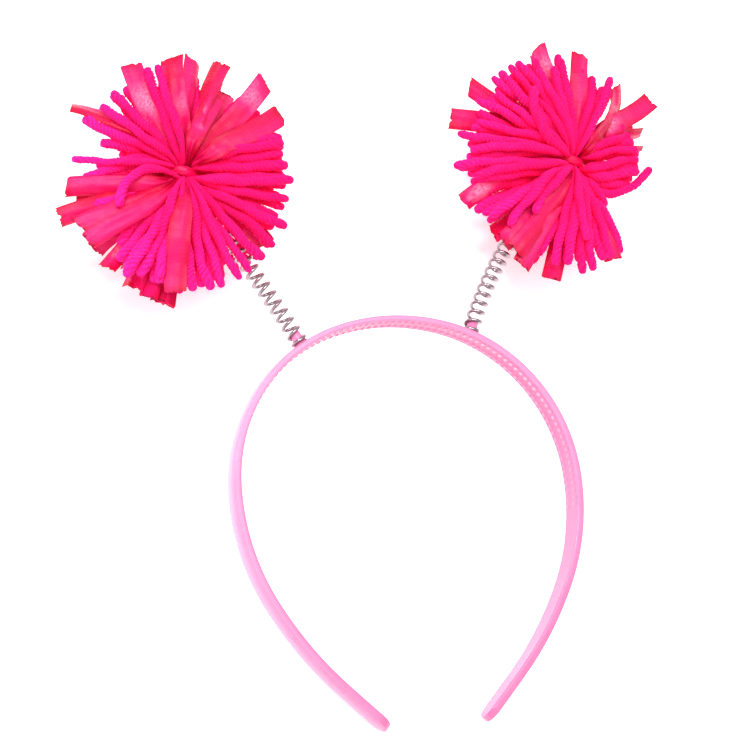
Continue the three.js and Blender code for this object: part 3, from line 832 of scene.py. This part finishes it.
# fans to strands: each row's count of strands between its two clock angles, with a little scatter
def spreadFans(pompom, rng):
    fans = [(True, clock, clock, 1, *rest) for clock, *rest in pompom["ribbons"]]
    fans += [(False, *fan, 0) for fan in pompom["yarns"]]
    rows = []
    for isRibbon, first, last, count, tilt, length, bow, roll in fans:
        for clock in np.linspace(first, last, count):
            clockBy, tiltBy, lengthBy, bowBy, rollBy = rng.normal(0, 1, 5) * bundle["seenScatter"]
            rows.append((isRibbon, clock + clockBy, tilt + tiltBy, length * (1 + lengthBy),
                         bow + bowBy, roll + rollBy, True))
    return rows


# fill = a golden-angle spiral of directions over the pompom's back, shorter straight behind and in open
# stretches
def fillBack(pompom, rng):
    count = bundle["fillYarns"] + bundle["fillRibbons"]
    share = (np.arange(count) + 0.5) / count
    back, rim = np.sin(np.radians(bundle["fillTilt"]))
    tilts = np.degrees(np.arcsin(back + share * (rim - back)))
    clocks = (np.arange(count) * goldenAngle) % 360
    reaches = bundle["fillReach"][0] + share * (bundle["fillReach"][1] - bundle["fillReach"][0])
    rows = []
    for k in range(count):
        clockBy, tiltBy, lengthBy, bow, roll = rng.normal(0, 1, 5) * bundle["fillScatter"]
        isRibbon = (k * bundle["fillRibbons"]) % count < bundle["fillRibbons"]
        clock = (clocks[k] + clockBy + 180) % 360 - 180
        isOpen = tilts[k] > -30 and any(first < clock < last for first, last in pompom["open"])
        reach = reaches[k] * (1 + lengthBy) * (bundle["openReach"] if isOpen else 1)
        rows.append((isRibbon, clock, tilts[k] + tiltBy, reach, bow, roll, False))
    return rows


# a pompom's own across, up and front ways = the band's, turned about the bundle
def pompomAxes(side):
    turn = np.radians(side["face"])
    acrossP = np.array([np.cos(turn), 0, -np.sin(turn)])
    frontP = np.array([np.sin(turn), 0, np.cos(turn)])
    return acrossP, np.array([0.0, 1.0, 0.0]), frontP


# strand path = a cubic curve: out of the tie along the bundle, bowed aside and bulged to the front, to an end
# set along the sight line for a seen strand, or by clock and tilt about the fill's axis for a filling one
def strandPaths(side, pompom, rows, rng):
    acrossP, upP, frontP = pompomAxes(side)
    middle = np.array(side["middle"], dtype=float)
    data = np.array([[float(v) for v in row] for row in rows])
    clock, tilt = np.radians(data[:, 1]), np.radians(data[:, 2])
    reach, bow, seen = data[:, 3], data[:, 4], data[:, 6:] > 0
    sin, cos = np.sin(clock)[:, None], np.cos(clock)[:, None]
    knot = middle + bundle["knotFront"] * frontP
    flat = reach[:, None] * (sin * seenRight + cos * seenUp)
    level = bundle["knotFront"] * 0.6 + reach * np.sin(bundle["endTilt"] * tilt)
    sight = knot + flat - eye
    seenEnd = eye + sight * ((level - eye[2]) / sight[:, 2])[:, None]
    turn = np.radians(pompom["turn"])
    fillRight = np.cos(turn) * seenRight - np.sin(turn) * seenFront
    fillFront = np.cos(turn) * seenFront + np.sin(turn) * seenRight
    way = np.cos(tilt)[:, None] * (sin * fillRight + cos * seenUp) + np.sin(tilt)[:, None] * fillFront
    finish = np.where(seen, seenEnd, middle + reach[:, None] * way)
    bunch = np.where(np.cos(clock) < 0, -1.0, 1.0)[:, None]
    forward = np.clip(2.2 * np.sin(tilt)[:, None] + 0.55 * seen, -1, 1)
    root = middle + bundle["rootAcross"] * sin * acrossP * np.sqrt(1 - 0.5 * forward ** 2) \
        + bundle["rootUp"] * bunch * upP + bundle["rootFront"] * forward * frontP
    run = finish - root
    arch = bundle["bulge"] * np.where(seen, 0.4 + np.degrees(np.maximum(tilt, 0))[:, None] / 15, 0.7)
    lift = np.where(seen, seenFront, unit(finish - middle)) * reach[:, None] * arch
    aside = unit(np.cross(run, seenFront)) * bow[:, None] / 0.75
    p1 = root + np.where(seen, *bundle["leave"]) * bunch * upP + 0.14 * run \
        + bundle["rise"] * forward * frontP + 0.5 * lift + aside
    p2 = root + 0.64 * run + lift + aside
    t = np.linspace(0, 1, bundle["points"])[None, :, None]
    paths = (1 - t) ** 3 * root[:, None] + 3 * t * (1 - t) ** 2 * p1[:, None] \
        + 3 * t ** 2 * (1 - t) * p2[:, None] + t ** 3 * finish[:, None]
    sideways = unit(np.cross(seenFront, run))[:, None]
    phase = rng.uniform(0, 2 * np.pi, (len(rows), 1, 1))
    swing = rng.normal(0, bundle["wander"], (len(rows), 1, 1))
    return paths + swing * t * np.sin(6.5 * t + phase) * sideways, data


# side and face = across the strand and out of it, from a reference way that the strand doesn't follow
def strandFrames(paths):
    along = unit(np.gradient(paths, axis=1))
    whole = unit(paths[:, -1] - paths[:, 0])
    reference = np.where(np.abs(whole @ seenFront)[:, None] < 0.85, seenFront, seenUp)[:, None]
    sideways = unit(np.cross(reference, along))
    return along, sideways, np.cross(along, sideways)


# settling = points of different strands closer than their radii push each other apart and into layers; the
# roots stay, the surface below and the spring push too, a seen strand moves along the sight line and hardly
# aside, and a filling strand keeps its length
def settle(paths, data, side):
    count, rows = paths.shape[:2]
    isRibbon = data[:, 0] > 0
    t = np.linspace(0, 1, rows)
    grow = 0.5 + 0.5 * ease(0, yarnStrand["fullAt"], t)
    sideways = strandFrames(paths)[1]
    owners, shifts, radii = [], [], []
    index = np.arange(count * rows).reshape(count, rows)
    yarnRadius = np.broadcast_to(yarnStrand["radius"] * grow, (count, rows))
    owners.append(index[~isRibbon].ravel())
    shifts.append(np.zeros((owners[0].size, 3)))
    radii.append(yarnRadius[~isRibbon].ravel())
    for share in (-0.68, 0.0, 0.68):
        owners.append(index[isRibbon].ravel())
        offset = share * ribbonStrip["half"] * grow[None, :, None] * sideways[isRibbon]
        shifts.append(offset.reshape(-1, 3))
        radii.append(np.broadcast_to(0.75 * grow, (isRibbon.sum(), rows)).ravel())
    owner, shift, radius = np.concatenate(owners), np.concatenate(shifts), np.concatenate(radii)
    strand = owner // rows
    apart = (radius[:, None] + radius[None, :]).astype(np.float32)
    other = strand[:, None] != strand[None, :]
    lengths = np.linalg.norm(np.diff(paths, axis=1), axis=-1)
    seen = data[:, 6] > 0
    free = ease(0.02, 0.2, t)[None, :, None]
    aside = np.where(seen[:, None], bundle["seenEase"] * (1 - ease(0.4, 0.9, t)), 1.0)[..., None]
    sight = unit(eye - paths[:, -1])[:, None]
    layer = np.where(seen, data[:, 2], -30.0)[strand]
    over = np.sign(layer[:, None] - layer[None, :]).astype(np.float32)
    curve, walked = springAxis(side)
    axis = alongCurve(curve, walked, np.linspace(0, walked[-1] - springWire["beforeMiddle"], 60))
    springRoom = springWire["radius"] + springWire["wire"] / 2 + 0.25
    bodyRadius = np.where(isRibbon[:, None], 0.9, yarnStrand["radius"]) * grow[None, :]
    for _ in range(bundle["rounds"]):
        spots = (paths.reshape(-1, 3)[owner] + shift).astype(np.float32)
        squared = np.sum(spots ** 2, 1)
        distance = np.sqrt(np.maximum(squared[:, None] + squared[None, :] - 2 * spots @ spots.T, 1e-4))
        weight = np.where(other, np.maximum(apart - distance, 0) / distance, 0)
        push = spots * weight.sum(1)[:, None] - weight @ spots
        push = push + bundle["layer"] * (weight * over).sum(1)[:, None] * sight[strand, 0]
        sums = [np.bincount(owner, push[:, k], count * rows) for k in range(3)]
        move = np.stack(sums, -1).reshape(count, rows, 3)
        deep = np.sum(move * sight, -1, keepdims=True) * sight
        move = 0.3 * free * (aside * (move - deep) + deep)
        size = np.linalg.norm(move, axis=-1, keepdims=True)
        move *= np.minimum(1, 0.8 / np.maximum(size, 1e-6))
        move[:, 1:-1] = 0.5 * move[:, 1:-1] + 0.25 * (move[:, :-2] + move[:, 2:])
        paths = paths + move
        gap = paths[:, :, None] - axis
        far = np.linalg.norm(gap, axis=-1)
        nearest = far.argmin(-1)
        closest = np.take_along_axis(far, nearest[..., None], 2)[..., 0]
        away = np.take_along_axis(gap, nearest[..., None, None], 2)[:, :, 0]
        short = np.maximum(springRoom + bodyRadius - closest, 0) * (t > 0.25)
        paths = paths + unit(away) * short[..., None]
        low = np.maximum(bodyRadius + 0.15 - heightOver(paths), 0)
        paths = paths + low[..., None] * floorWay
        for k in range(1, rows):
            step = unit(paths[~seen, k] - paths[~seen, k - 1])
            paths[~seen, k] = paths[~seen, k - 1] + step * lengths[~seen, k - 1, None]
    return paths


# clamped cubic spline weights: each row blends the path's points at one share of its length
def splineWeights(points, shares):
    degree = 3
    knots = np.concatenate([np.zeros(degree), np.linspace(0, 1, points - degree + 1), np.ones(degree)])
    t = np.clip(shares, 0, 1 - 1e-9)[:, None]
    weights = ((knots[:-1] <= t) & (t < knots[1:])).astype(float)
    for p in range(1, degree + 1):
        n = len(knots) - 1 - p
        left, right = knots[p:p + n] - knots[:n], knots[p + 1:p + 1 + n] - knots[1:1 + n]
        rising = (t - knots[:n]) / np.where(left > 0, left, 1) * (left > 0)
        falling = (knots[p + 1:p + 1 + n] - t) / np.where(right > 0, right, 1) * (right > 0)
        weights = rising * weights[:, :n] + falling * weights[:, 1:n + 1]
    return weights


# shares along a strand: even, then close together at the end that is rounded or frayed
def strandShares(rows):
    return np.concatenate([np.linspace(0, 0.94, rows - 5), [0.962, 0.978, 0.99, 0.997, 1.0]])


# yarn section = the outline of round plies side by side
def plyOutline():
    around = 2 * np.pi * np.arange(yarnStrand["sides"]) / yarnStrand["sides"]
    part = np.pi / yarnStrand["plies"]
    beside = (around + part) % (2 * part) - part  # angle from the nearest ply
    out, ply = yarnStrand["plyOut"], yarnStrand["ply"]
    return around, out * np.cos(beside) + np.sqrt(ply ** 2 - (out * np.sin(beside)) ** 2)


# yarn = that section turned along the strand's path, thin at the tie, with a slight sway and a rounded end
def yarnSurface(paths, data, magenta, rng):
    count = len(paths)
    shares = strandShares(yarnStrand["rows"])
    fine = np.einsum("tp,spk->stk", splineWeights(paths.shape[1], shares), paths)
    _, sideways, face = strandFrames(fine)
    length = data[:, 3]
    grow = yarnStrand["rootShare"] + (1 - yarnStrand["rootShare"]) * ease(0, yarnStrand["fullAt"], shares)
    blunt = np.ones(len(shares))
    blunt[-len(yarnStrand["endRound"]):] = yarnStrand["endRound"]
    phase = rng.uniform(0, 2 * np.pi, count)
    fat = rng.normal(1, yarnStrand["fatSpread"], count)
    sway = 2 * np.pi * length[:, None] * shares / rng.uniform(9, 15, count)[:, None] + phase[:, None]
    loose = yarnStrand["wiggle"] * ease(0.15, 0.6, shares)
    fine = fine + (loose * np.sin(sway))[..., None] * sideways \
        + (loose * np.cos(0.8 * sway))[..., None] * face
    around, outline = plyOutline()
    turns = length / (yarnStrand["twist"] * rng.uniform(*yarnStrand["twistSpread"], count))
    uneven = 0.5 * np.sin(11 * shares + 1.7 * phase[:, None])
    wind = phase[:, None] + 2 * np.pi * turns[:, None] * shares + uneven
    angle = (wind[..., None] + around)[..., None]
    ring = np.cos(angle) * sideways[:, :, None] + np.sin(angle) * face[:, :, None]
    swell = 1 + 0.05 * np.sin(9 * shares + phase[:, None]) \
        + 0.03 * np.sin(37 * shares + 2.3 * phase[:, None])
    radius = (fat[:, None] * swell * grow * blunt)[..., None] * outline
    surface = offFloor(fine[:, :, None] + radius[..., None] * ring)
    # painted light: the ends on the lower left are tinted magenta for a bluish light falling there; the rest
    # of the tint is a random tone for each strand
    clock = np.radians(data[:, 1])
    paintedLightSide = np.clip(0.45 - 0.65 * np.sin(clock + np.radians(30)), 0, 1)[:, None]  # most at the lower left
    tint = 0.06 + rng.normal(0, 0.06, count)[:, None] + magenta * paintedLightSide * ease(0.4, 1.0, shares)
    return tubeSet(surface, length[:, None] * shares, np.clip(tint, 0, 1)), surface


# fuzz = fine bent hairs that leave a strand's surface along it and outward, closer together at its end
def fuzzSurface(surface, rng):
    count, rows, columns = surface.shape[:3]
    total = count * fuzz["perStrand"]
    strand = np.repeat(np.arange(count), fuzz["perStrand"])
    atEnd = rng.uniform(0, 1, total) < fuzz["endShare"]
    share = np.where(atEnd, rng.uniform(0.93, 0.99, total), rng.uniform(0.25, 0.95, total))
    row = np.clip((share * (rows - 1)).astype(int), 1, rows - 2)
    column = rng.integers(0, columns, total)
    foot = surface[strand, row, column]
    centre = surface[strand, row].mean(1)
    along = unit(surface[strand, row + 1].mean(1) - surface[strand, row - 1].mean(1))
    outward = unit(foot - centre)
    lean = rng.normal(0, fuzz["lean"], (2, total, 3))
    leave = unit(0.7 * along + 0.6 * outward + lean[0])
    bent = unit(0.9 * along + 0.2 * outward + lean[1])
    reach = rng.uniform(*fuzz["length"], total)[:, None]
    t = np.linspace(0, 1, fuzz["points"])[None, :, None]
    bend = t * leave[:, None] + 0.6 * t ** 2 * bent[:, None]
    hair = (foot - 0.15 * outward)[:, None] + reach[:, None] * bend
    turn = 2 * np.pi * np.arange(3) / 3
    first = unit(np.cross(leave, depthWay + 0.3 * seenUp))
    ring = np.cos(turn)[:, None] * first[:, None] + np.sin(turn)[:, None] * np.cross(leave, first)[:, None]
    thin = fuzz["thick"] / 2 * (1 - 0.85 * t[..., None])
    points = offFloor(hair[:, :, None] + thin * ring[:, None])
    return tubeSet(points, reach * t[..., 0], np.full((total, fuzz["points"]), 0.35))


# ribbon = a thin strip carried along its path: gathered in folds at the tie, then flat, cupped and rolled,
# with a frayed end
def ribbonSurface(paths, data, paintedGlints, rng):
    count = len(paths)
    shares = strandShares(ribbonStrip["rows"])
    fine = np.einsum("tp,spk->stk", splineWeights(paths.shape[1], shares), paths)
    along, sideways, face = strandFrames(fine)
    opened = ease(0, ribbonStrip["fullAt"], shares)
    half = ribbonStrip["rootHalf"] + (ribbonStrip["half"] - ribbonStrip["rootHalf"]) * opened
    w = np.linspace(-1, 1, ribbonStrip["across"])
    loose = rng.normal(0, ribbonStrip["rollSpread"], count)
    roll = np.radians(data[:, 5])[:, None] * ease(0.0, 0.6, shares) + loose[:, None] * shares
    wide = np.cos(roll)[..., None] * sideways + np.sin(roll)[..., None] * face
    out = np.cross(along, wide)
    phase = rng.uniform(0, 2 * np.pi, (count, 3))
    size = rng.normal(1, 0.06, count)
    t, spread = shares[:, None], opened[:, None]
    first, second, third = [phase[:, k:k + 1, None] for k in range(3)]
    cup = ribbonStrip["cup"] * rng.normal(0.9, 0.5, count)[:, None, None] * spread * (0.4 - w ** 2)
    fold = ribbonStrip["fold"] * (1 - 0.85 * opened)[:, None] * np.cos(2.2 * np.pi * w + first)
    wave = ribbonStrip["wave"] * spread * np.sin(5.0 * t + 0.8 * w + second)
    crumple = ribbonStrip["crumple"] * spread * np.sin(31 * t + 2.5 * w + third) \
        * np.cos(17 * t - 3.1 * w + first)
    fray = ribbonStrip["fray"] * rng.uniform(0, 1, (count, 1, len(w))) ** 2 \
        + ribbonStrip["cutSlant"] * rng.normal(0, 1, count)[:, None, None] * w
    slip = fray * (shares ** 14)[:, None]
    strip = fine[:, :, None] + (size[:, None, None] * half[:, None] * w)[..., None] * wide[:, :, None] \
        + (cup + fold + wave + crumple)[..., None] * out[:, :, None] - slip[..., None] * along[:, :, None]
    lower = strip - ribbonStrip["thick"] * out[:, :, None]
    surface = offFloor(np.concatenate([strip[:, :, ::-1], lower], 2))
    # painted shade: deeper near the tie and in soft lengthwise streaks along the folds; the tint is also
    # deeper along the edges and at the cut end, and varies at random from ribbon to ribbon
    paintedFoldShade = np.sin(2.4 * w + 3.0 * t + second)
    tint = 0.25 + rng.normal(0, ribbonStrip["tintSpread"], count)[:, None, None] + 0.4 * ease(0.1, 0.9, t) \
        + 0.3 * paintedFoldShade - 0.5 * w ** 8 - 0.4 * ease(0.975, 0.995, t)
    # painted highlights: pale speckled patches set where the light catches the satin
    highlightShare = np.zeros((count, len(shares)))
    for clock, at, long in paintedGlints:
        beside = (data[:, 1:2] - clock) / ribbonStrip["highlightSpread"]
        highlightShare += np.exp(-beside ** 2 - ((shares - at) / long) ** 2)
    paintedHighlight = (ribbonStrip["paintedHighlight"] * highlightShare * data[:, 6:7])[:, :, None] * (1 - 0.5 * w ** 2)
    tint = np.clip(tint, 0, 1) + paintedHighlight
    return tubeSet(surface, data[:, 3][:, None] * shares, np.concatenate([tint[:, :, ::-1], tint], 2))


# tie = a rounded band about the bundle's way, creased along its wrap
def tieSurface(side):
    acrossP, upP, frontP = pompomAxes(side)
    middle = np.array(side["middle"], dtype=float)
    turn = 2 * np.pi * np.arange(tieWrap["around"])[:, None] / tieWrap["around"]
    section = 2 * np.pi * np.arange(tieWrap["section"]) / tieWrap["section"]
    shapeOut = np.sign(np.cos(section)) * np.abs(np.cos(section)) ** tieWrap["square"]
    shapeUp = np.sign(np.sin(section)) * np.abs(np.sin(section)) ** tieWrap["square"]
    centre, thick = (tieWrap["inner"] + tieWrap["outer"]) / 2, (tieWrap["outer"] - tieWrap["inner"]) / 2
    crease = tieWrap["creaseDepth"] * np.cos(tieWrap["creases"] * np.pi * shapeUp + 0.6 * np.sin(3 * turn))
    radius = centre + thick * shapeOut + crease * np.clip(2 * shapeOut, 0, 1) + 0.08 * np.sin(5 * turn)
    swell = 1 + 0.07 * np.sin(4 * turn + 1)
    height = tieWrap["width"] / 2 * shapeUp * swell + tieWrap["climb"] * np.sin(turn)
    outward = np.cos(turn) * frontP - np.sin(turn) * acrossP
    surface = middle + radius[..., None] * outward[:, None] + height[..., None] * upP
    return ringSet(surface, centre * 2 * np.pi)


for name, side in sides.items():
    pompom = pompoms[name]
    rng = np.random.default_rng(pompom["seed"])
    strands = spreadFans(pompom, rng) + fillBack(pompom, rng)
    paths, data = strandPaths(side, pompom, strands, rng)
    paths = settle(paths, data, side)
    isRibbon = data[:, 0] > 0
    yarnParts, yarnPoints = yarnSurface(paths[~isRibbon], data[~isRibbon], pompom["magenta"], rng)
    makePiece(f"pompom_yarn_{name}", [yarnParts], hotPinkYarn, f"pompom_{name}")
    makePiece(f"pompom_fuzz_{name}", [fuzzSurface(yarnPoints, rng)], hotPinkYarn, f"pompom_{name}")
    ribbonParts = ribbonSurface(paths[isRibbon], data[isRibbon], pompom["paintedGlints"], rng)
    makePiece(f"pompom_ribbon_{name}", [ribbonParts], coralSatin, f"pompom_{name}")
    makePiece(f"tie_wrap_{name}", [tieSurface(side)], tieSatin, f"tie_{name}")
print("pompoms and ties made")


# The floor, the light and the camera

studio = {
    "floor": (252, 251, 252),
    "floorSize": 6.0,
    "floorGlow": 0.42,
    "floorDrop": 0.0002,
    "world": 0.85,
    "aim": (0, 0, 0.02),
    "key": {"at": (0.02, 0.06, 1.15), "size": 0.7, "power": 6.8},
    "top": {"at": (-0.46, 0.22, 0.95), "size": 0.12, "power": 4.0},
    "side": {"at": (-0.3, -0.03, 0.16), "size": 0.22, "power": 0.14},
}


# floor = one square a hair under the part
def makeFloor():
    half = studio["floorSize"] / 2
    mesh = bpy.data.meshes.new("floor")
    corners = [(-half, -half, 0), (half, -half, 0), (half, half, 0), (-half, half, 0)]
    mesh.from_pydata(corners, [], [(0, 1, 2, 3)])
    pale = shown(*studio["floor"])
    material = newMaterial("paleFloor", {
        "Roughness": 0.9, "Specular IOR Level": 0.1, "Base Color": pale, "Emission Color": pale,
        "Emission Strength": studio["floorGlow"],
    })[0]
    mesh.materials.append(material)
    floor = bpy.data.objects.new("floor", mesh)
    floor.location.z = -studio["floorDrop"]
    bpy.context.scene.collection.objects.link(floor)


# a soft light = a square area lamp aimed at the middle of the part
def makeLight(name, at, size, power):
    data = bpy.data.lights.new(name, "AREA")
    data.size = size
    data.energy = power
    lamp = bpy.data.objects.new(name, data)
    back = unit(np.array(at) - studio["aim"])
    right = unit(np.cross([0.0, 0.0, 1.0], back))
    turn = np.eye(4)
    turn[:3, 0], turn[:3, 1], turn[:3, 2], turn[:3, 3] = right, np.cross(back, right), back, at
    lamp.matrix_world = Matrix(turn.tolist())
    bpy.context.scene.collection.objects.link(lamp)


# world = even white light from all round
def makeWorld():
    world = bpy.data.worlds.new("studioWorld")
    world.use_nodes = True
    shade = world.node_tree.nodes["Background"]
    shade.inputs["Color"].default_value = (1.0, 1.0, 1.0, 1.0)
    shade.inputs["Strength"].default_value = studio["world"]
    bpy.context.scene.world = world


makeFloor()
makeWorld()
for name in ("key", "top", "side"):
    makeLight(name, **studio[name])
makeCamera()
bpy.context.scene.view_settings.view_transform = "Standard"
print("stage made")
